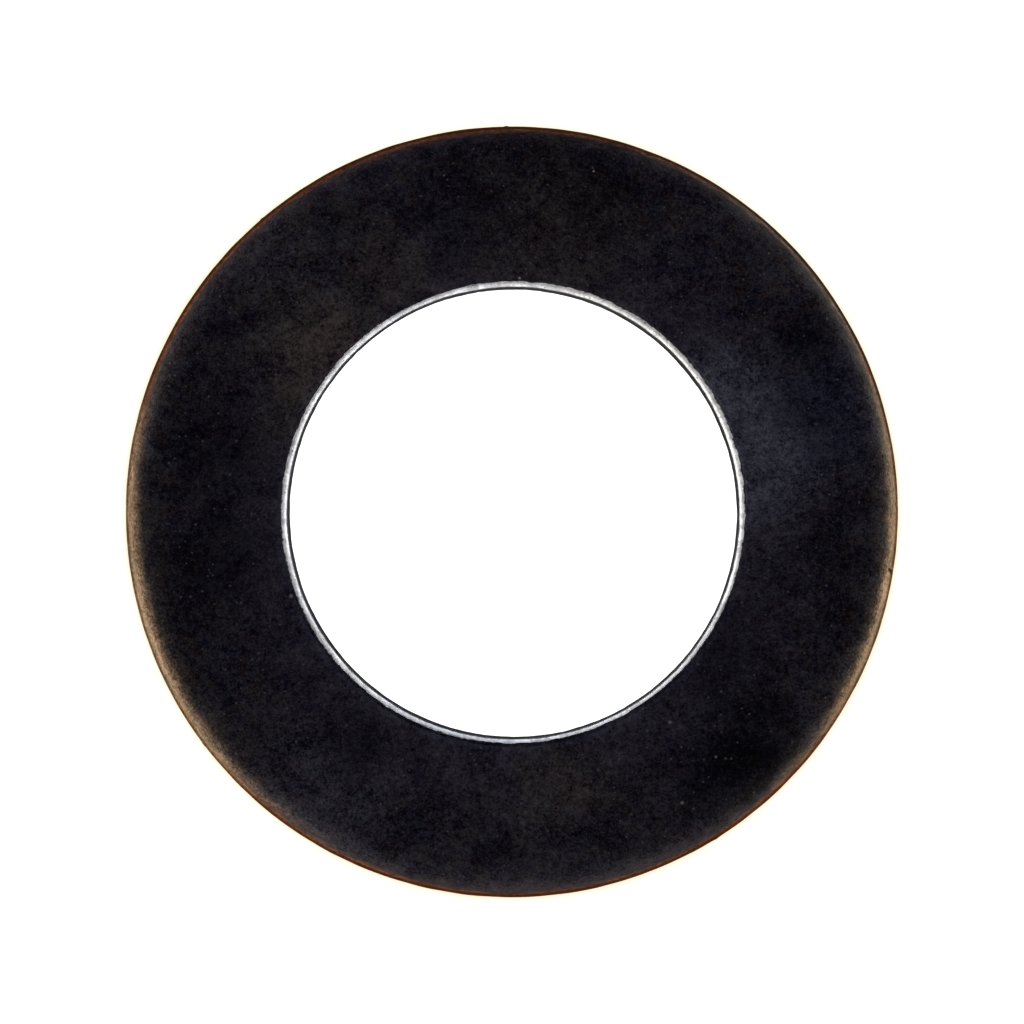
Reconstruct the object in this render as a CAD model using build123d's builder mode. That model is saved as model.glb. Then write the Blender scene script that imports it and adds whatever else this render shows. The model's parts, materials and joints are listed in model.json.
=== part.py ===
from build123d import *
import math
import os

# A bonded sealing washer, for the head of an M12 or half-inch screw. A flat stamped steel washer
# carries the clamp load, and black rubber is moulded onto both of its faces and round its rim in one
# piece. Only the steel's bore, and a narrow rim of its faces beside the bore, stay bare.
#
# All sizes are in millimetres. The bore's axis is Z, and the origin is on it, in the plane of the
# lower rubber face that the washer rests on.

# Driving dimensions
bore_diameter = 13.0
outer_diameter = 22.3  # over the flash line
steel_outer_diameter = 20.3
steel_thickness = 1.5
rubber_thickness = 0.75  # on each face of the steel
bare_rim_width = 0.17  # steel left bare beside the bore, on each face
steel_edge_radius = 0.12  # the steel's sheared edges, tumbled round
rubber_corner_radius = 0.65  # where a rubber face turns into the rim
rubber_lip_radius = 0.04  # where a rubber face ends at the bare steel
rim_draft_angle = 10.0  # degrees: the rim tapers both ways from the mould's parting line
flash_height = 0.05  # the thin fin that the mould leaves at its parting line
flash_root_width = 0.07
flash_tip_width = 0.04

# Sizes that follow from them
bore_radius = bore_diameter / 2
outer_radius = outer_diameter / 2
steel_outer_radius = steel_outer_diameter / 2
total_thickness = steel_thickness + 2 * rubber_thickness
half_thickness = total_thickness / 2
steel_width = steel_outer_radius - bore_radius
rubber_bore_radius = bore_radius + bare_rim_width
rim_radius = outer_radius - flash_height  # the moulded rim, at the foot of the flash line
rim_taper_height = half_thickness - flash_root_width / 2
rim_top_radius = rim_radius - rim_taper_height * math.tan(math.radians(rim_draft_angle))

# Both sections are drawn in the XZ plane, from the height of the steel's and the rubber's middle.
section_plane = Plane(origin=(0, 0, half_thickness), x_dir=(1, 0, 0), z_dir=(0, -1, 0))

# The steel washer: a stamped flat ring, with every edge tumbled round.
with BuildPart() as steel_washer:
    with BuildSketch(section_plane) as steel_section:
        with Locations((bore_radius + steel_width / 2, 0)):
            Rectangle(steel_width, steel_thickness)
        fillet(steel_section.vertices(), steel_edge_radius)
    revolve(axis=Axis.Z)

# The rubber: the upper half of its outline, mirrored at the parting line and turned about the bore,
# with the steel washer's own shape taken out of it, so that the two are bonded all over.
with BuildPart() as rubber_seal:
    with BuildSketch(section_plane) as rubber_section:
        with BuildLine() as upper_outline:
            Polyline(
                (rubber_bore_radius, 0),
                (rubber_bore_radius, half_thickness),
                (rim_top_radius, half_thickness),
                (rim_radius, flash_root_width / 2),
                (outer_radius, flash_tip_width / 2),
                (outer_radius, 0),
                close=True,
            )
        make_face()
        outer_corner = rubber_section.vertices().group_by(Axis.Y)[-1].sort_by(Axis.X)[-1]
        fillet(outer_corner, rubber_corner_radius)
        inner_corner = rubber_section.vertices().group_by(Axis.Y)[-1].sort_by(Axis.X)[0]
        fillet(inner_corner, rubber_lip_radius)
        mirror(about=Plane.XZ)
    revolve(axis=Axis.Z)
    add(steel_washer.part, mode=Mode.SUBTRACT)

steel_washer.part.label = "steel_washer"
rubber_seal.part.label = "rubber_seal"

os.makedirs("parts", exist_ok=True)
export_step(steel_washer.part, "parts/steel_washer.step")
export_step(rubber_seal.part, "parts/rubber_seal.step")
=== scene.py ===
import json
import math
import bpy
from mathutils import Euler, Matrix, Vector, noise


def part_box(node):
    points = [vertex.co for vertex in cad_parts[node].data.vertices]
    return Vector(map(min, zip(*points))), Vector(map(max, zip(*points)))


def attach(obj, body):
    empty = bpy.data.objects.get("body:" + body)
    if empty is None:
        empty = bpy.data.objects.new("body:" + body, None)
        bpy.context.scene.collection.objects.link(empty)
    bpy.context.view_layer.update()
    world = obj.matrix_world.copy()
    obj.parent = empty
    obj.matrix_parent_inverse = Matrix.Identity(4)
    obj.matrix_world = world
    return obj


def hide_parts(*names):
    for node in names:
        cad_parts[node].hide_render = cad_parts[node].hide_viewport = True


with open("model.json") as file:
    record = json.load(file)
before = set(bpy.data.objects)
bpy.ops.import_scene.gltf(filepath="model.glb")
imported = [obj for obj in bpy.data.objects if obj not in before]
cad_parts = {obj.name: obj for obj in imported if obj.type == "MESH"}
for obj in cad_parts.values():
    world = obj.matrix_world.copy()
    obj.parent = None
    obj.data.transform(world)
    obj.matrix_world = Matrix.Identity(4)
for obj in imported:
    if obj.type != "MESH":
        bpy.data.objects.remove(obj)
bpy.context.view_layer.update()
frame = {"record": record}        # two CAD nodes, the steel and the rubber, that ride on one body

# ---------------------------------------------------------------------------------------------
# Steel washer
# A flat ring punched from cold-rolled strip and tumbled, so its edges are round and its skin is
# satin. The punch left a smooth band at the top of the bore and a torn, duller one under it.
# All but the bore and the narrow rims beside it is buried in the rubber, and bonded to it.

mm = 0.001
steel_low, steel_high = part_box("steel_washer")
middle = (steel_low.z + steel_high.z) / 2
bore_mount = next(m for m in frame["record"]["mounts"] if m["name"] == "bore")
bore_radius = bore_mount["dims"]["r_mm"] * mm
steel_outer_radius = steel_high.x
steel_edge_radius = 0.12 * mm
ring_steps = 1200                            # points round each ring
torn_top = steel_low.z + 0.62 * (steel_high.z - steel_low.z)     # the torn band lies under this
torn_fade = 0.15 * mm                        # the height over which the tearing sets in
torn_depth, torn_size = 0.012 * mm, 0.25 * mm
burr_height = 0.012 * mm                     # what the punch left at the bore's lower edge
burr_reach = 0.3 * mm                        # how far above the lower face it starts
burr_turn = math.radians(45)                 # it is highest here, and straight across from here
bore_waves = ((0.010 * mm, 0.9 * mm), (0.008 * mm, 0.2 * mm))    # each (height, size)
dent_depth, dent_size = 0.006 * mm, 0.22 * mm
lip_shift = Vector((-0.004, 0.025, 0)) * mm  # the moulding sits a little off the bore's axis


def arc(centre, radius, start, end, steps):
    """Points (r, z) of a section's arc; its angles are in degrees, from straight outward."""
    turns = [math.radians(start + (end - start) * i / steps) for i in range(steps + 1)]
    return [(centre[0] + radius * math.cos(a), centre[1] + radius * math.sin(a)) for a in turns]


def run(start, end, steps):
    """Points (r, z) along a straight stretch of a section, without its two ends."""
    shares = [i / steps for i in range(1, steps)]
    return [(start[0] + (end[0] - start[0]) * t, start[1] + (end[1] - start[1]) * t) for t in shares]


def turned_ring(name, outline, settle):
    """A closed ring: the section's outline is turned about the bore's axis, and settle() then
    moves each point from its nominal (r, z, turn) to where the real surface lies."""
    points = []
    for step in range(ring_steps):
        turn = 2 * math.pi * step / ring_steps
        points += [settle(r, z, turn) for r, z in outline]
    rows = len(outline)
    faces = []
    for step in range(ring_steps):
        here = step * rows
        there = (step + 1) % ring_steps * rows
        for row in range(rows):
            above = (row + 1) % rows
            faces.append((here + row, there + row, there + above, here + above))
    mesh = bpy.data.meshes.new(name)
    mesh.from_pydata(points, [], faces)
    mesh.shade_smooth()
    mesh.set_sharp_from_angle(angle=math.radians(40))
    ring = bpy.data.objects.new(name, mesh)
    bpy.context.scene.collection.objects.link(ring)
    return ring


def ramp(value, low, high):
    """0 below low, 1 above high, and smooth between them."""
    t = min(max((value - low) / (high - low), 0), 1)
    return t * t * (3 - 2 * t)


def lumps(point, size):
    """Smooth random lumps of about that size, from -1 to 1, that stay the same in every run."""
    return noise.noise(point / size)


def waviness(point, waves):
    """Lumps of several sizes, one on another. Each wave is a height and a size."""
    return sum(height * lumps(point, size) for height, size in waves)


def steel_point(r, z, turn):
    """The bore's wall is torn and burred, and the rims beside it are dented."""
    point = Vector((r * math.cos(turn), r * math.sin(turn), z))
    outward = Vector((math.cos(turn), math.sin(turn), 0))
    bore_side = 1 - ramp(r, bore_radius + 0.01 * mm, bore_radius + steel_edge_radius)
    torn = ramp(-z, -torn_top, -torn_top + torn_fade) * bore_side
    torn *= ramp(z, steel_low.z + steel_edge_radius, steel_low.z + 2 * steel_edge_radius)
    torn *= 0.6 + 0.4 * lumps(point, torn_size)
    burr = bore_side * (1 - ramp(z, steel_low.z + steel_edge_radius, steel_low.z + burr_reach))
    burr *= 1 + 0.8 * math.cos(2 * (turn - burr_turn))
    shift = torn * torn_depth - burr * burr_height + waviness(point, bore_waves) * bore_side
    dent = dent_depth * lumps(point, dent_size) * ramp(shown_rim - r, 0, 0.03 * mm)
    return point + outward * shift + Vector((0, 0, dent if z > middle else -dent))


# the section: the arcs' centres lie where each flat side ends and its rounded edge begins
inner_side, outer_side = bore_radius + steel_edge_radius, steel_outer_radius - steel_edge_radius
lower_side, upper_side = steel_low.z + steel_edge_radius, steel_high.z - steel_edge_radius
shown_rim = inner_side + 0.15 * mm           # the rims' bare part ends before this
steel_outline = (
    arc((inner_side, lower_side), steel_edge_radius, 180, 270, 12)
    + run((inner_side, steel_low.z), (shown_rim, steel_low.z), 5)
    + [(shown_rim, steel_low.z)]
    + arc((outer_side, lower_side), steel_edge_radius, 270, 360, 4)
    + arc((outer_side, upper_side), steel_edge_radius, 0, 90, 4)
    + [(shown_rim, steel_high.z)]
    + run((shown_rim, steel_high.z), (inner_side, steel_high.z), 5)
    + arc((inner_side, upper_side), steel_edge_radius, 90, 180, 12)
    + run((bore_radius, upper_side), (bore_radius, lower_side), 26)
)
steel = turned_ring("steel_ring", steel_outline, steel_point)


def place(tree, kind, inputs=None, **settings):
    """Adds a node. Each input takes a value, or the output socket of another node."""
    node = tree.nodes.new(kind)
    for name, value in settings.items():
        setattr(node, name, value)
    for name, value in (inputs or {}).items():
        if isinstance(value, bpy.types.NodeSocket):
            tree.links.new(value, node.inputs[name])
        else:
            node.inputs[name].default_value = value
    return node


def where_on(tree):
    """The point of the piece that is being shaded."""
    return place(tree, "ShaderNodeTexCoord").outputs["Object"]


def new_effect(name, inputs, outputs):
    """An empty shader node group with named inputs and outputs, and its two end nodes."""
    group = bpy.data.node_groups.new(name, "ShaderNodeTree")
    for label, value in inputs.items():
        kind = "NodeSocketVector" if isinstance(value, tuple) else "NodeSocketFloat"
        socket = group.interface.new_socket(label, in_out="INPUT", socket_type=kind)
        socket.default_value = value
    for label in outputs:
        group.interface.new_socket(label, in_out="OUTPUT", socket_type="NodeSocketFloat")
    return group, group.nodes.new("NodeGroupInput").outputs, group.nodes.new("NodeGroupOutput").inputs


def use_effect(tree, group, **inputs):
    """Puts an effect into a material, with its own values, and gives the effect's outputs."""
    node = place(tree, "ShaderNodeGroup", node_tree=group)
    for name, value in inputs.items():
        socket = node.inputs[name.replace("_", " ").capitalize()]
        if isinstance(value, bpy.types.NodeSocket):
            tree.links.new(value, socket)
        else:
            socket.default_value = value
    return node.outputs


def math_node(tree, operation, *values):
    return place(tree, "ShaderNodeMath", dict(enumerate(values)), operation=operation).outputs[0]


def scaled(tree, value, times, plus=0.0):
    """The value times one number, plus another."""
    return math_node(tree, "MULTIPLY_ADD", value, times, plus)


def overlap(tree, first, second):
    """The part that two masks have in common."""
    return math_node(tree, "MULTIPLY", first, second)


def smooth_step(tree, value, low, high):
    """0 where value is below low, 1 above high. Swapped limits turn it round."""
    span = {"Value": value, "From Min": low, "From Max": high}
    return place(tree, "ShaderNodeMapRange", span, interpolation_type="SMOOTHSTEP").outputs["Result"]


def blend_colours(tree, share, first, second):
    node = place(tree, "ShaderNodeMix", data_type="RGBA")
    for index, value in ((0, share), (6, first), (7, second)):
        if isinstance(value, bpy.types.NodeSocket):
            tree.links.new(value, node.inputs[index])
        else:
            node.inputs[index].default_value = value
    return node.outputs[2]


def paint(tree, skin, tint, mask, thickness=1.0):
    """The skin's colour, with a tint laid over it where the mask is."""
    if thickness != 1.0:
        mask = math_node(tree, "MULTIPLY", mask, thickness)
    return blend_colours(tree, mask, skin, tint)


def colour(red, green, blue):
    return (red, green, blue, 1.0)


def at(across, up, height):
    """A point, from millimetres across and up from the bore's axis and a height in metres."""
    return (across * mm, up * mm, height)


# Fine grain: the even, matte texture of a tumbled or moulded skin.
fine_grain, given, result = new_effect("fine_grain", {"Size": 0.05 * mm}, ["Height"])
grain_scale = math_node(fine_grain, "DIVIDE", 1.0, given["Size"])
grain = place(fine_grain, "ShaderNodeTexNoise", {"Vector": where_on(fine_grain), "Scale": grain_scale,
                                                 "Detail": 3.0, "Roughness": 0.6})
fine_grain.links.new(grain.outputs["Fac"], result["Height"])

# Clouds: soft, irregular patches, such as a tarnish, a bloom or a wiped film.
clouds, given, result = new_effect("clouds", {"Size": 2 * mm, "Low": 0.4, "High": 0.6, "Shift": 0.0,
                                              "Raggedness": 0.55, "Stretch": (1.0, 1.0, 1.0)}, ["Mask"])
drawn = place(clouds, "ShaderNodeVectorMath", {0: where_on(clouds), 1: given["Stretch"]},
              operation="MULTIPLY")
moved = place(clouds, "ShaderNodeVectorMath", {0: drawn.outputs[0], 1: given["Shift"]}, operation="ADD")
cloud_scale = math_node(clouds, "DIVIDE", 1.0, given["Size"])
cloud = place(clouds, "ShaderNodeTexNoise", {"Vector": moved.outputs[0], "Scale": cloud_scale,
                                             "Detail": 5.0, "Roughness": given["Raggedness"]})
mask = smooth_step(clouds, cloud.outputs["Fac"], given["Low"], given["High"])
clouds.links.new(mask, result["Mask"])

# Specks: a few small round marks, one to a cell, such as pits or grains of dust.
specks, given, result = new_effect("specks", {"Spacing": 1 * mm, "Radius": 0.1, "Share": 0.5}, ["Mask"])
cell_scale = math_node(specks, "DIVIDE", 1.0, given["Spacing"])
cell = place(specks, "ShaderNodeTexVoronoi", {"Vector": where_on(specks), "Scale": cell_scale})
picked = place(specks, "ShaderNodeSeparateColor", {0: cell.outputs["Color"]})
kept = math_node(specks, "LESS_THAN", picked.outputs["Red"], given["Share"])
own_radius = math_node(specks, "MULTIPLY", picked.outputs["Green"], given["Radius"])
soft_radius = math_node(specks, "MULTIPLY", own_radius, 0.4)
dot = smooth_step(specks, cell.outputs["Distance"], own_radius, soft_radius)
specks.links.new(overlap(specks, dot, kept), result["Mask"])

# Zone: two masks, of how far out from the bore's axis a point lies and of how high, and its radius.
zone, given, result = new_effect("zone", {"Centre": (0.0, 0.0, 0.0), "Inner": 0.0, "Outer": 1.0,
                                          "Lower": 0.0, "Upper": 1.0}, ["Outside", "Above", "Radius"])
from_centre = place(zone, "ShaderNodeVectorMath", {0: where_on(zone), 1: given["Centre"]},
                    operation="SUBTRACT").outputs[0]
offset = place(zone, "ShaderNodeSeparateXYZ", {"Vector": from_centre}).outputs
level = place(zone, "ShaderNodeCombineXYZ", {"X": offset["X"], "Y": offset["Y"]})
reach = place(zone, "ShaderNodeVectorMath", {0: level.outputs[0]}, operation="LENGTH").outputs["Value"]
zone.links.new(smooth_step(zone, reach, given["Inner"], given["Outer"]), result["Outside"])
zone.links.new(smooth_step(zone, offset["Z"], given["Lower"], given["Upper"]), result["Above"])
zone.links.new(reach, result["Radius"])

# Spot: a soft round smudge about a point, ragged at its edge.
spot, given, result = new_effect("spot", {"Centre": (0.0, 0.0, 0.0), "Radius": 1 * mm}, ["Mask"])
here = where_on(spot)
ragged = place(spot, "ShaderNodeTexNoise", {"Vector": here, "Scale": 1 / (1.1 * mm), "Detail": 3.0})
away = place(spot, "ShaderNodeVectorMath", {0: here, 1: given["Centre"]}, operation="DISTANCE")
away = math_node(spot, "DIVIDE", away.outputs["Value"], given["Radius"])
away = math_node(spot, "ADD", away, math_node(spot, "SUBTRACT", ragged.outputs["Fac"], 0.5))
spot.links.new(smooth_step(spot, away, 1.0, 0.1), result["Mask"])


def new_material(name):
    material = bpy.data.materials.new(name)
    material.use_nodes = True
    tree = material.node_tree
    tree.nodes.clear()
    shader = tree.nodes.new("ShaderNodeBsdfPrincipled")
    output = tree.nodes.new("ShaderNodeOutputMaterial")
    tree.links.new(shader.outputs["BSDF"], output.inputs["Surface"])
    return material, tree, shader


satin_steel, tree, shader = new_material("tumbled_steel")
tarnish = use_effect(tree, clouds, size=0.30 * mm, low=0.38, high=0.64, raggedness=0.8)["Mask"]
handled = use_effect(tree, clouds, size=1.6 * mm, low=0.36, high=0.64, shift=0.01,
                     raggedness=0.5)["Mask"]
pits = use_effect(tree, specks, spacing=0.10 * mm, radius=0.42, share=0.30)["Mask"]
bright_dents = use_effect(tree, specks, spacing=0.16 * mm, radius=0.40, share=0.25)["Mask"]
bore_zone = use_effect(tree, zone, inner=bore_radius - 0.02 * mm, outer=bore_radius + 0.035 * mm,
                       lower=torn_top - 0.1 * mm, upper=torn_top + 0.06 * mm)
on_wall = math_node(tree, "SUBTRACT", 1.0, bore_zone["Outside"])
torn_wall = overlap(tree, on_wall, math_node(tree, "SUBTRACT", 1.0, bore_zone["Above"]))
lip_zone = use_effect(tree, zone, centre=tuple(lip_shift), inner=bore_radius + 0.05 * mm,
                      outer=bore_radius + 0.17 * mm)
skin = blend_colours(tree, tarnish, colour(0.94, 0.94, 0.95), colour(0.53, 0.53, 0.54))
skin = paint(tree, skin, colour(0.60, 0.60, 0.61), handled, 0.6)
skin = paint(tree, skin, colour(0.93, 0.93, 0.93), bright_dents)
skin = paint(tree, skin, colour(0.36, 0.35, 0.34), pits)
skin = paint(tree, skin, colour(0.42, 0.42, 0.43), lip_zone["Outside"], 0.30)
skin = paint(tree, skin, colour(0.28, 0.28, 0.29), on_wall)
skin = paint(tree, skin, colour(0.19, 0.187, 0.185), torn_wall)
# painted light: a bluish cast on the front of the ring, and a warm one at its back right
painted_cool_light = use_effect(tree, spot, centre=at(-0.6, -6.6, steel_high.z), radius=6 * mm)["Mask"]
warm = use_effect(tree, spot, centre=at(4.5, 4.5, steel_high.z), radius=8 * mm)["Mask"]
painted_light_cast = paint(tree, colour(1, 1, 1), colour(0.943, 0.976, 1.034), painted_cool_light)
painted_light_cast = paint(tree, painted_light_cast, colour(1.0, 0.985, 0.94), warm)
skin = place(tree, "ShaderNodeVectorMath", {0: skin, 1: painted_light_cast}, operation="MULTIPLY").outputs[0]
# a ragged film of rubber that crept over the rim before it set
creep = use_effect(tree, clouds, size=0.16 * mm, low=0.2, high=0.8, shift=0.03, raggedness=0.7)["Mask"]
film_edge = scaled(tree, creep, times=0.10 * mm, plus=lip_zone["Radius"])
film = smooth_step(tree, film_edge, bore_radius + 0.212 * mm, bore_radius + 0.264 * mm)
skin = paint(tree, skin, colour(0.012, 0.012, 0.016), film)
tree.links.new(skin, shader.inputs["Base Color"])
tree.links.new(math_node(tree, "SUBTRACT", 1.0, film), shader.inputs["Metallic"])
gloss = scaled(tree, tarnish, times=0.10, plus=0.38)
gloss = scaled(tree, torn_wall, times=0.20, plus=gloss)
tree.links.new(gloss, shader.inputs["Roughness"])
grain = use_effect(tree, fine_grain, size=0.06 * mm)["Height"]
relief = scaled(tree, pits, times=-0.6, plus=grain)
bump = place(tree, "ShaderNodeBump", {"Height": relief, "Strength": 1.0, "Distance": 0.008 * mm})
tree.links.new(bump.outputs["Normal"], shader.inputs["Normal"])

steel.data.materials.append(satin_steel)
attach(steel, "root")
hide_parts("steel_washer")

# ---------------------------------------------------------------------------------------------
# Rubber seal
# Black nitrile rubber, moulded on both of the steel's faces and round its rim in one shot, and
# vulcanised to it. The mould closed round the middle of the rim, where it left a thin fin. The
# fine texture is the mould's own, and a brown bloom has come out of the rubber on the rim.

rubber_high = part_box("rubber_seal")[1]       # the highest corner of its box
bare_rim = 0.17 * mm
lip_radius = 0.04 * mm
corner_radius = 0.65 * mm
draft_degrees = 10
draft = math.radians(draft_degrees)
fin_height = 0.05 * mm
fin_root = 0.07 * mm
fin_tip = 0.04 * mm
rubber_bore = bore_radius + bare_rim
rubber_outer = rubber_high.x
fin_foot = rubber_outer - fin_height
# the corner's arc touches the face and the drafted rim, so its centre follows from both
corner_z = rubber_high.z - corner_radius
corner_r = (fin_foot - math.tan(draft) * (corner_z - middle - fin_root / 2)
            - corner_radius / math.cos(draft))
corner_end = (corner_r + corner_radius * math.cos(draft), corner_z + corner_radius * math.sin(draft))
lip_centre = (rubber_bore + lip_radius, rubber_high.z - lip_radius)


def mirrored(points):
    """The same points below the middle plane, in the order that keeps the outline going round."""
    return [(r, 2 * middle - z) for r, z in reversed(points)]


upper_outline = (
    [(rubber_outer, middle), (rubber_outer, middle + fin_tip / 2)]
    + [(fin_foot + 0.35 * fin_height, middle + fin_root / 2 - 0.003 * mm)]   # the fin's hollow side
    + [(fin_foot, middle + fin_root / 2)]
    + run((fin_foot, middle + fin_root / 2), corner_end, 4)
    + arc((corner_r, corner_z), corner_radius, draft_degrees, 90, 13)
    + run((corner_r, rubber_high.z), (lip_centre[0], rubber_high.z), 8)
    + arc(lip_centre, lip_radius, 90, 180, 5)
    + run((rubber_bore, lip_centre[1]), (rubber_bore, steel_high.z), 3)
    + [(rubber_bore, steel_high.z)]
)
pocket = (
    arc((outer_side, upper_side), steel_edge_radius, 90, 0, 3)
    + arc((outer_side, lower_side), steel_edge_radius, 0, -90, 3)
)
rubber_outline = upper_outline + pocket + mirrored(upper_outline[1:])

# how the real moulding departs from that section
rim_shift = Vector((-0.039, 0.038, 0)) * mm
oval_turn = math.radians(23)                 # it is very slightly oval, longest this way
lip_oval, rim_oval = 0.027 * mm, 0.014 * mm
lip_growth = 0.009 * mm
lip_waves = ((0.018 * mm, 1.6 * mm), (0.026 * mm, 0.35 * mm), (0.024 * mm, 0.12 * mm))
fin_growth, fin_waves = 0.008 * mm, ((0.010 * mm, 0.6 * mm),)
sink_depth, sink_size = 0.003 * mm, 2.5 * mm     # the faces sank a little as the rubber cooled
face_start, face_full = 1.2 * mm, 1.45 * mm      # how far from the middle plane the faces begin
# the fin's torn nibs, and nicks below zero: turn in degrees, width along the rim, and height
nibs = [
    (90.8, 0.08 * mm, 0.030 * mm), (130.5, 0.12 * mm, 0.014 * mm), (1.1, 0.07 * mm, -0.035 * mm),
    (-8.8, 0.08 * mm, -0.008 * mm), (217.0, 0.12 * mm, 0.012 * mm), (302.0, 0.15 * mm, 0.014 * mm)]


def rubber_point(r, z, turn):
    """The moulding is off centre and a little oval, with a ragged lip and a wavy, nicked fin."""
    point = Vector((r * math.cos(turn), r * math.sin(turn), z))
    outward = Vector((math.cos(turn), math.sin(turn), 0))
    beside_steel = abs(z - middle) < steel_high.z - middle + 0.01 * mm
    if beside_steel and rubber_bore + 0.2 * mm < r < steel_outer_radius + 0.01 * mm:
        return point                         # the rubber follows the steel's own shape here
    outside = ramp(r, rubber_bore + 0.3 * mm, corner_r)
    at_lip = 1 - ramp(r, rubber_bore, rubber_bore + 0.35 * mm)
    at_fin = ramp(r, fin_foot - 0.004 * mm, rubber_outer)
    moved = point + rim_shift * outside + lip_shift * (1 - outside)
    growth = math.cos(2 * (turn - oval_turn)) * (lip_oval + (rim_oval - lip_oval) * outside)
    growth += (lip_growth + waviness(point, lip_waves)) * at_lip
    growth += (fin_growth + waviness(point, fin_waves)) * at_fin
    moved += outward * growth
    for nib_turn, width, height in nibs:
        off = (turn - math.radians(nib_turn) + math.pi) % (2 * math.pi) - math.pi
        bell = math.exp(-(off * rubber_outer / (0.5 * width)) ** 2)
        if height > 0:
            moved += outward * at_fin * height * bell
        elif z > middle:
            moved += outward * ramp(r, fin_foot - 0.10 * mm, fin_foot) * height * bell
    on_face = ramp(abs(z - middle), face_start, face_full)
    sunk = sink_depth * (1 + lumps(point, sink_size)) * on_face
    moved.z -= math.copysign(sunk, z - middle)
    return moved


rubber = turned_ring("rubber_moulding", rubber_outline, rubber_point)

# Stroke: a thin mark that runs straight up the rim, at one turn about the bore's axis.
stroke, given, result = new_effect("stroke", {"Turn": 0.0, "Width": 0.01}, ["Mask"])
offset = place(stroke, "ShaderNodeSeparateXYZ", {"Vector": where_on(stroke)}).outputs
bearing = math_node(stroke, "ARCTAN2", offset["Y"], offset["X"])
aside = math_node(stroke, "ABSOLUTE", math_node(stroke, "SUBTRACT", bearing, given["Turn"]))
core = math_node(stroke, "MULTIPLY", given["Width"], 0.3)
stroke.links.new(smooth_step(stroke, aside, given["Width"], core), result["Mask"])

black_rubber, tree, shader = new_material("moulded_rubber")
# the black itself: cooler here and warmer there, and a little greyer towards the bore
tinted = use_effect(tree, clouds, size=0.45 * mm, low=0.42, high=0.58, shift=0.05,
                    raggedness=0.5)["Mask"]
face_zone = use_effect(tree, zone, inner=rubber_bore, outer=rubber_bore + 3.0 * mm)
near_bore = scaled(tree, face_zone["Outside"], times=-0.6, plus=0.6)
skin = blend_colours(tree, tinted, colour(0.0120, 0.0115, 0.0177), colour(0.0143, 0.0115, 0.0154))
skin = paint(tree, skin, colour(0.0225, 0.0204, 0.0286), near_bore)
# the skin's own mottling, light and dark in three sizes: 1 on average
clouded = use_effect(tree, clouds, size=0.9 * mm, low=0.30, high=0.70, raggedness=0.75)["Mask"]
mottle = use_effect(tree, clouds, size=0.16 * mm, low=0.30, high=0.70, shift=0.02,
                    raggedness=0.85)["Mask"]
speckle = use_effect(tree, clouds, size=0.062 * mm, low=0.36, high=0.64, shift=0.01,
                     raggedness=0.7)["Mask"]
tone = scaled(tree, clouded, times=1.4, plus=-1.40)
tone = scaled(tree, mottle, times=1.9, plus=tone)
tone = scaled(tree, speckle, times=1.5, plus=tone)
# the smudges: where each is, across and up, its radius, its strength and its tint
blue_haze, deep_blue = colour(0.040, 0.041, 0.056), colour(0.011, 0.012, 0.024)
tan_haze, grey_haze = colour(0.038, 0.031, 0.028), colour(0.034, 0.031, 0.036)
brown, wiped = colour(0.0235, 0.0183, 0.0170), colour(0.001, 0.0012, 0.004)
smudges = [
    ((6.2, 3.4), 2.4, 0.70, blue_haze), ((7.4, 1.5), 2.3, 0.72, blue_haze),
    ((9.3, 3.2), 2.6, 0.70, deep_blue), ((-5.7, 4.8), 2.5, 0.65, tan_haze),
    ((-3.7, 6.8), 2.2, 0.35, tan_haze), ((-0.2, 7.1), 0.9, 0.50, grey_haze),
    ((1.2, 8.0), 3.2, 0.50, brown), ((1.4, -7.7), 1.7, 0.45, tan_haze),
    ((-0.4, -8.6), 2.8, 0.15, grey_haze), ((-6.5, 7.2), 2.2, 0.35, grey_haze),
    ((-5.6, -8.6), 3.6, 0.28, blue_haze), ((5.9, -5.0), 1.4, 0.40, wiped),
    ((8.4, 5.0), 1.4, 0.50, wiped), ((6.9, -7.4), 2.8, 0.92, wiped),
    ((6.3, -3.9), 2.0, 0.42, wiped), ((9.2, -1.3), 2.4, 0.18, wiped),
    ((-8.5, -1.3), 2.6, 0.50, wiped), ((-8.5, 1.9), 2.6, 0.50, wiped),
    ((-4.5, -6.7), 1.5, 0.45, wiped), ((-0.6, -9.7), 1.1, 0.25, wiped),
    ((-1.2, 9.2), 2.6, 0.35, wiped), ((2.2, 9.6), 2.4, 0.40, wiped),
    ((-6.6, 2.7), 1.6, 0.30, tan_haze), ((6.9, 0.2), 1.5, 0.30, blue_haze)]
uneven = scaled(tree, tone, times=0.5, plus=0.5)
for (across, up), radius, strength, tint in smudges:
    mask = use_effect(tree, spot, centre=at(across, up, rubber_high.z), radius=radius * mm)["Mask"]
    skin = paint(tree, skin, tint, overlap(tree, mask, uneven), strength)
# painted pale, cool light on a line beside the lip in front, and painted shade at the lip itself
lip_face = use_effect(tree, zone, centre=tuple(lip_shift), inner=rubber_bore + 0.03 * mm,
                      outer=rubber_bore + 0.08 * mm)
painted_lip_light = smooth_step(tree, lip_face["Radius"], rubber_bore + 0.26 * mm, rubber_bore + 0.12 * mm)
painted_lip_light = overlap(tree, painted_lip_light, lip_face["Outside"])
in_front = use_effect(tree, spot, centre=at(-1.5, -3.8, rubber_high.z), radius=12 * mm)["Mask"]
skin = paint(tree, skin, colour(0.031, 0.032, 0.049), overlap(tree, painted_lip_light, in_front), 0.5)
lip_shade = smooth_step(tree, lip_face["Radius"], rubber_bore + 0.10 * mm, rubber_bore + 0.05 * mm)
shaded = use_effect(tree, spot, centre=at(-2.8, -5.6, rubber_high.z), radius=9.5 * mm)["Mask"]
skin = paint(tree, skin, colour(0.004, 0.004, 0.009), overlap(tree, lip_shade, shaded), 0.6)
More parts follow.
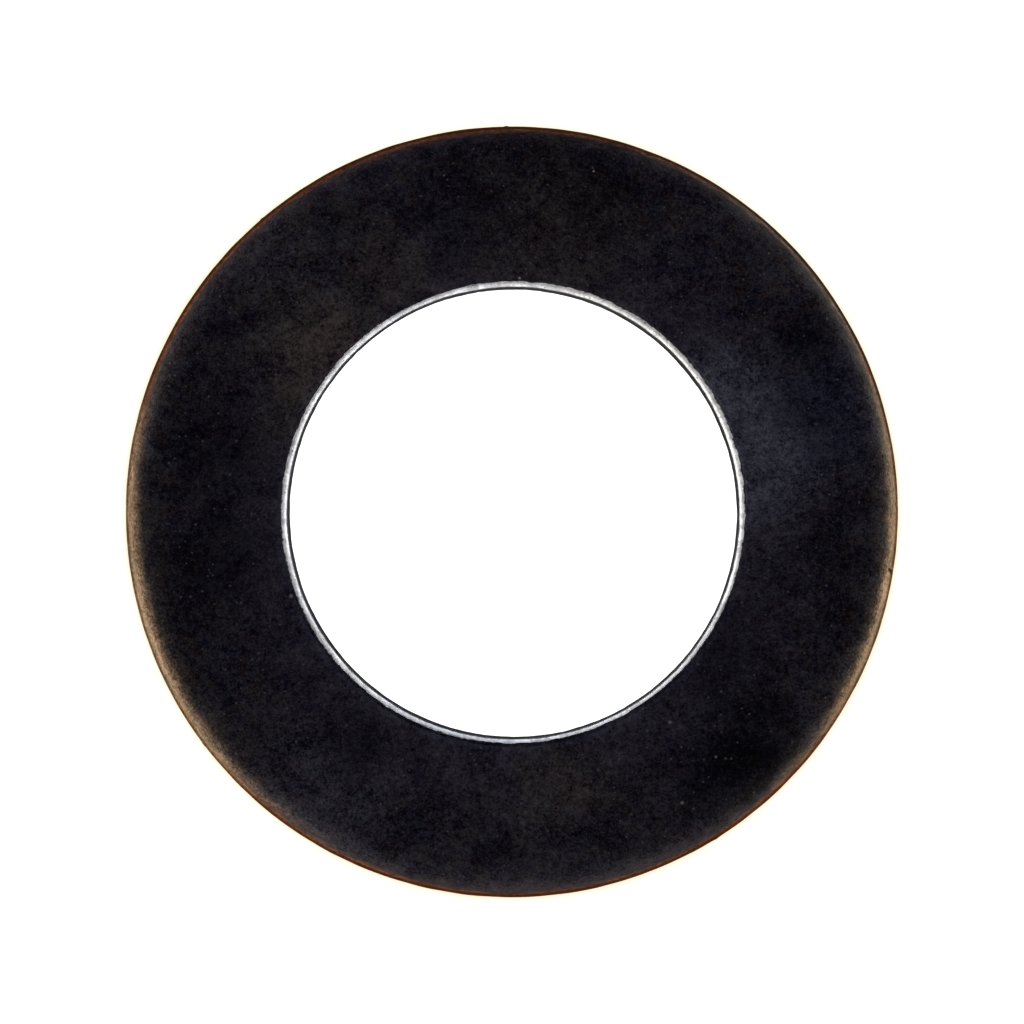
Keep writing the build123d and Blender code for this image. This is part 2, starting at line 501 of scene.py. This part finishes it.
# the mottling goes over them, and then the grains of filler and the pores
mottling, darkest = (0.0098,) * 3, (0.0005,) * 3
grain_step = math_node(tree, "SUBTRACT", tone, 1.0)
skin = place(tree, "ShaderNodeVectorMath", {0: grain_step, 1: mottling, 2: skin},
             operation="MULTIPLY_ADD").outputs[0]
skin = place(tree, "ShaderNodeVectorMath", {0: skin, 1: darkest}, operation="MAXIMUM").outputs[0]
filler = use_effect(tree, specks, spacing=0.16 * mm, radius=0.34, share=0.40)["Mask"]
skin = paint(tree, skin, colour(0.056, 0.051, 0.055), filler, 0.7)
pores = use_effect(tree, specks, spacing=0.11 * mm, radius=0.45, share=0.35)["Mask"]
skin = paint(tree, skin, colour(0.002, 0.002, 0.003), pores, 0.85)
# the rim's regions: two broad lit sides, a small patch on the left, and the stretches between them; the
# sides' paler colours below are painted light from the strips
right_side = use_effect(tree, spot, centre=at(10.65, -2.8, middle), radius=8 * mm)["Mask"]
left_side = use_effect(tree, spot, centre=at(-10.6, -3.3, middle), radius=9.2 * mm)["Mask"]
left_patch = use_effect(tree, spot, centre=at(-11.0, 1.6, middle), radius=2.2 * mm)["Mask"]
lit_sides = math_node(tree, "ADD", right_side, math_node(tree, "ADD", left_side, left_patch))
elsewhere = math_node(tree, "SUBTRACT", 1.0, lit_sides)
# a grey haze on the corner, thicker in front and thinner at the back, and partly wiped off; part of it is
# painted light on the corner, browner on the two lit sides
wander = use_effect(tree, clouds, size=0.35 * mm, low=0.25, high=0.75, shift=0.04,
                    raggedness=0.65)["Mask"]
from_axis = use_effect(tree, zone, centre=tuple(rim_shift))["Radius"]
rim_reach = scaled(tree, wander, times=0.12 * mm, plus=from_axis)
edge = smooth_step(tree, rim_reach, corner_r - 0.5 * mm, corner_r + 0.45 * mm)
corner = smooth_step(tree, rim_reach, corner_r + 0.30 * mm, corner_r + 0.75 * mm)
front = use_effect(tree, spot, centre=at(-2, -9, rubber_high.z), radius=15 * mm)["Mask"]
back = use_effect(tree, spot, centre=at(1.5, 11, middle), radius=8 * mm)["Mask"]
cleaned = use_effect(tree, spot, centre=at(-5.2, -9.4, middle), radius=5.5 * mm)["Mask"]
edge_haze = scaled(tree, front, times=0.14, plus=scaled(tree, back, times=-0.07, plus=0.08))
corner_haze = scaled(tree, back, times=-0.2, plus=0.42)
haze_and_light = math_node(tree, "MULTIPLY_ADD", corner, corner_haze, overlap(tree, edge, edge_haze))
haze_and_light = overlap(tree, haze_and_light, scaled(tree, cleaned, times=-0.4, plus=1.0))
haze_and_light = overlap(tree, haze_and_light, scaled(tree, tone, times=0.3, plus=0.7))
haze_skin = blend_colours(tree, lit_sides, colour(0.058, 0.052, 0.060), colour(0.064, 0.050, 0.033))
skin = paint(tree, skin, haze_skin, haze_and_light)
# under it the brown bloom, streaked and dusty; on the two lit sides it starts furthest in and is paler,
# and that is painted light from the strips
streaks = use_effect(tree, clouds, size=0.10 * mm, low=0.30, high=0.70, shift=0.01, raggedness=0.7,
                     stretch=(1.0, 1.0, 0.12))["Mask"]
dusty = use_effect(tree, clouds, size=0.22 * mm, low=0.50, high=0.68, shift=0.03,
                   raggedness=0.8)["Mask"]
back_left = use_effect(tree, spot, centre=at(-3.5, 10.4, middle), radius=8 * mm)["Mask"]
bloom_reach = scaled(tree, mottle, times=0.03 * mm, plus=rim_reach)
bloom_reach = scaled(tree, back_left, times=0.06 * mm, plus=bloom_reach)
bloom_tone = scaled(tree, streaks, times=0.85, plus=scaled(tree, tone, times=0.5, plus=0.07))
bloom_tone = math_node(tree, "MAXIMUM", bloom_tone, 0.25)
lit_side_bloom, dusty_bloom = colour(0.087, 0.057, 0.048), colour(0.110, 0.090, 0.078)
blooms = [(right_side, 0.48, 0.73, lit_side_bloom), (left_side, 0.37, 0.74, lit_side_bloom),
          (left_patch, 0.50, 0.80, colour(0.122, 0.080, 0.067)),
          (elsewhere, 0.66, 0.90, colour(0.112, 0.050, 0.032))]
for region, start, end, tint in blooms:
    tint = paint(tree, tint, dusty_bloom, dusty, 0.45)
    tint = place(tree, "ShaderNodeHueSaturation", {"Color": tint, "Value": bloom_tone}).outputs[0]
    bloom = smooth_step(tree, bloom_reach, corner_r + start * mm, corner_r + end * mm)
    skin = paint(tree, skin, tint, overlap(tree, bloom, region))
# painted shade in the groove above and below the fin, which fades out on the two lit sides
height = place(tree, "ShaderNodeSeparateXYZ", {0: where_on(tree)}).outputs["Z"]
from_parting = math_node(tree, "ABSOLUTE", math_node(tree, "SUBTRACT", height, middle))
groove_shade = smooth_step(tree, from_parting, 0.29 * mm, 0.12 * mm)
groove_shade = overlap(tree, groove_shade, scaled(tree, lit_sides, times=-0.9, plus=0.9))
skin = paint(tree, skin, colour(0.046, 0.019, 0.008), groove_shade)
# a tear in the rim, which leans as it runs out to the fin and stops above it; its dark colour is painted
# shade in the cut
tear_foot = 10.958 * mm
tear_start = math.radians(-8.45)
tear_lean = math.radians(-2.2) / mm
tear_middle = middle + 0.42 * mm
tear_turn = scaled(tree, from_axis, times=tear_lean, plus=tear_start - tear_lean * tear_foot)
tear = use_effect(tree, stroke, turn=tear_turn, width=math.radians(0.33))["Mask"]
from_tear = math_node(tree, "ABSOLUTE", math_node(tree, "SUBTRACT", height, tear_middle))
tear = overlap(tree, tear, smooth_step(tree, from_tear, 0.46 * mm, 0.38 * mm))
skin = paint(tree, skin, colour(0.024, 0.009, 0.004), tear)
# the fin itself, dark, and paler on the two lit sides, where that is painted light
fin_skin = blend_colours(tree, lit_sides, colour(0.084, 0.036, 0.014), colour(0.142, 0.098, 0.060))
fin_tone = scaled(tree, bloom_tone, times=0.35, plus=0.65)
fin_skin = place(tree, "ShaderNodeHueSaturation", {"Color": fin_skin, "Value": fin_tone}).outputs[0]
on_fin = smooth_step(tree, from_parting, 0.07 * mm, 0.035 * mm)
skin = paint(tree, skin, fin_skin, on_fin)
# the whole rim is greyer at the back right, and the painted groove shade is darker there
muted = use_effect(tree, spot, centre=at(9.3, 8.0, middle), radius=9.5 * mm)["Mask"]
muted = overlap(tree, muted, corner)
richness = scaled(tree, muted, times=-0.5, plus=1.0)
groove_shade_depth = scaled(tree, overlap(tree, muted, groove_shade), times=-0.35, plus=1.0)
skin = place(tree, "ShaderNodeHueSaturation",
             {"Color": skin, "Saturation": richness, "Value": groove_shade_depth}).outputs[0]
# dust, and a few larger crumbs: where each lies, its radius and its tint
dust = use_effect(tree, specks, spacing=0.6 * mm, radius=0.075, share=0.16)["Mask"]
skin = paint(tree, skin, colour(0.16, 0.155, 0.15), dust, 0.4)
pale_crumb, grey_crumb = colour(0.135, 0.130, 0.127), colour(0.078, 0.073, 0.076)
crumbs = [
    ((-1.15, 10.47, 3.0), 0.060, pale_crumb), ((2.31, 9.82, 3.0), 0.050, pale_crumb),
    ((-8.17, 6.90, 2.95), 0.070, pale_crumb), ((0.18, 6.75, 3.0), 0.070, pale_crumb),
    ((-1.99, 9.70, 3.0), 0.055, grey_crumb), ((4.50, -6.00, 3.0), 0.090, grey_crumb),
    ((-6.38, -2.38, 3.0), 0.085, grey_crumb), ((5.82, -7.00, 3.0), 0.062, grey_crumb),
    ((7.34, 7.47, 3.0), 0.075, grey_crumb), ((6.68, 0.90, 3.0), 0.080, grey_crumb),
    ((4.85, -8.32, 3.0), 0.070, grey_crumb)]
for (across, up, high), radius, tint in crumbs:
    mask = use_effect(tree, spot, centre=at(across, up, high * mm), radius=radius * mm)["Mask"]
    skin = paint(tree, skin, tint, mask)
tree.links.new(skin, shader.inputs["Base Color"])
# the skin is matte and hardly shines, and the tear is duller still and cut into it
tree.links.new(scaled(tree, tear, times=0.35, plus=0.65), shader.inputs["Roughness"])
shader.inputs["Specular IOR Level"].default_value = 0.038
grain = use_effect(tree, fine_grain, size=0.09 * mm)["Height"]
relief = scaled(tree, tear, times=-2.0, plus=grain)
bump = place(tree, "ShaderNodeBump", {"Height": relief, "Strength": 1.0, "Distance": 0.04 * mm})
tree.links.new(bump.outputs["Normal"], shader.inputs["Normal"])

rubber.data.materials.append(black_rubber)
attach(rubber, "root")
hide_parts("rubber_seal")

# ---------------------------------------------------------------------------------------------
# Studio
# The washer lies on a white table inside a soft white tent, and the camera looks straight down on
# it. A long warm strip light stands just above the table on the left and on the right, with a
# softbox over each, so the rim's two sides are the brightest.

floor_radius = 2.0
floor_corners = 96
floor_turns = [2 * math.pi * i / floor_corners for i in range(floor_corners)]
floor_mesh = bpy.data.meshes.new("table")
floor_mesh.from_pydata([(floor_radius * math.cos(a), floor_radius * math.sin(a), 0) for a in floor_turns],
                       [], [tuple(range(floor_corners))])
table = bpy.data.objects.new("table", floor_mesh)
bpy.context.scene.collection.objects.link(table)

white_table = bpy.data.materials.new("white_table")
white_table.use_nodes = True
tree = white_table.node_tree
tree.nodes.clear()
# beside the rim the table's colour holds a painted reflection of the rubber's brown, least at the back
under_rim = use_effect(tree, zone, centre=tuple(rim_shift), inner=8 * mm, outer=9 * mm)
painted_brown_reflection = smooth_step(tree, under_rim["Radius"], 11.62 * mm, 11.16 * mm)
painted_brown_reflection = overlap(tree, painted_brown_reflection, under_rim["Outside"])
at_back = use_effect(tree, spot, centre=at(-2, 11.5, 0.0), radius=10 * mm)["Mask"]
painted_brown_reflection = overlap(tree, painted_brown_reflection, scaled(tree, at_back, times=-0.15, plus=1.0))
white = paint(tree, colour(1, 1, 1), colour(0.75, 0.68, 0.56), painted_brown_reflection)
# and under the rim a painted shadow
painted_contact_shadow = smooth_step(tree, under_rim["Radius"], 11.24 * mm, 10.6 * mm)
painted_contact_shadow = overlap(tree, painted_contact_shadow, under_rim["Outside"])
white = paint(tree, white, colour(0.14, 0.13, 0.12), painted_contact_shadow)
# the camera sees the table evenly lit, while the washer gets its light from the tent and the lamps
seen = place(tree, "ShaderNodeLightPath").outputs["Is Camera Ray"]
dim = place(tree, "ShaderNodeBsdfDiffuse", {"Color": colour(0.08, 0.08, 0.08)})
lit = place(tree, "ShaderNodeEmission", {"Color": white, "Strength": 0.9})
both = place(tree, "ShaderNodeMixShader", {0: seen, 1: dim.outputs[0], 2: lit.outputs[0]})
place(tree, "ShaderNodeOutputMaterial", {"Surface": both.outputs[0]})
table.data.materials.append(white_table)

tent = bpy.data.worlds.new("tent")
bpy.context.scene.world = tent
tent.use_nodes = True
tree = tent.node_tree
tree.nodes.clear()
sky_place = place(tree, "ShaderNodeTexCoord").outputs["Generated"]
upward = place(tree, "ShaderNodeSeparateXYZ", {0: sky_place}).outputs["Z"]
brightness = 6.5                             # at the table's own level
# how it changes on the way up: from one angle above the table to another, in degrees, by this much
for low, high, change in ((2.5, 4, -5.3), (26, 34, -0.58), (66, 74, 0.35)):
    step = smooth_step(tree, upward, math.sin(math.radians(low)), math.sin(math.radians(high)))
    brightness = math_node(tree, "MULTIPLY_ADD", step, change, brightness)
sky = place(tree, "ShaderNodeBackground", {"Color": colour(0.98, 0.98, 1.0), "Strength": brightness})
place(tree, "ShaderNodeOutputWorld", {"Surface": sky.outputs[0]})


def area_light(name, place_at, rotation, width, height, radiance, tint):
    """A flat soft light. Its power follows from how bright its face looks."""
    light = bpy.data.lights.new(name, "AREA")
    light.shape, light.size, light.size_y = "RECTANGLE", width, height
    light.energy = radiance * math.pi * width * height
    light.color = tint
    lamp = bpy.data.objects.new(name, light)
    lamp.location = place_at
    lamp.rotation_mode = "QUATERNION"
    lamp.rotation_quaternion = rotation
    lamp.visible_camera = False
    bpy.context.scene.collection.objects.link(lamp)


warm, pale_warm = (1.0, 0.967, 0.666), (1, 0.98, 0.93)
strip_distance, strip_height = 0.36, 0.0095
strip_length, strip_width, strip_radiance = 0.39, 0.019, 52
softbox_distance, softbox_angle = 0.5, math.radians(40)
softbox_length, softbox_width, softbox_radiance = 0.42, 0.176, 0.576
glow_height = 0.03 * mm
# the stretches of table that each strip lights: start, end and width in millimetres, and radiance
glows = (("near", 11.4, 22, 15, 2.6), ("far", 22, 80, 46, 3.0))
for side, degrees, low_share, high_share in (("right", -9.0, 0.97, 1.5), ("left", 198.7, 1.02, 2.8)):
    turn = math.radians(degrees)
    out = Vector((math.cos(turn), math.sin(turn), 0))
    area_light("strip_" + side, out * strip_distance + Vector((0, 0, strip_height)),
               (-out).to_track_quat("-Z", "Y"), strip_length, strip_width,
               strip_radiance * low_share, warm)
    above = Vector((0, 0, softbox_distance * math.sin(softbox_angle)))
    above += out * softbox_distance * math.cos(softbox_angle)
    area_light("softbox_" + side, above, (-above).to_track_quat("-Z", "Y"), softbox_length,
               softbox_width, softbox_radiance * high_share, pale_warm)
    face_up = Euler((math.pi, 0, turn)).to_quaternion()
    for name, start, end, width, radiance in glows:
        area_light("glow_%s_%s" % (name, side), out * (start + end) / 2 * mm + Vector((0, 0, glow_height)),
                   face_up, (end - start) * mm, width * mm, radiance * low_share, warm)

camera_height = 200 * mm                     # above the middle of the washer
pixels_per_metre = 34562.0                   # at the washer's middle plane, in a 1024-pixel frame
frame_pixels = 1024
camera_data = bpy.data.cameras.new("camera")
camera_data.sensor_width = 36.0
camera_data.lens = camera_data.sensor_width * pixels_per_metre * camera_height / frame_pixels
camera_data.clip_start = 0.01
camera = bpy.data.objects.new("camera", camera_data)
camera.location = at(-0.037, 0.034, middle + camera_height)
bpy.context.scene.collection.objects.link(camera)
bpy.context.scene.camera = camera

bpy.context.scene.view_settings.view_transform = "Standard"
bpy.context.scene.view_settings.look = "High Contrast"
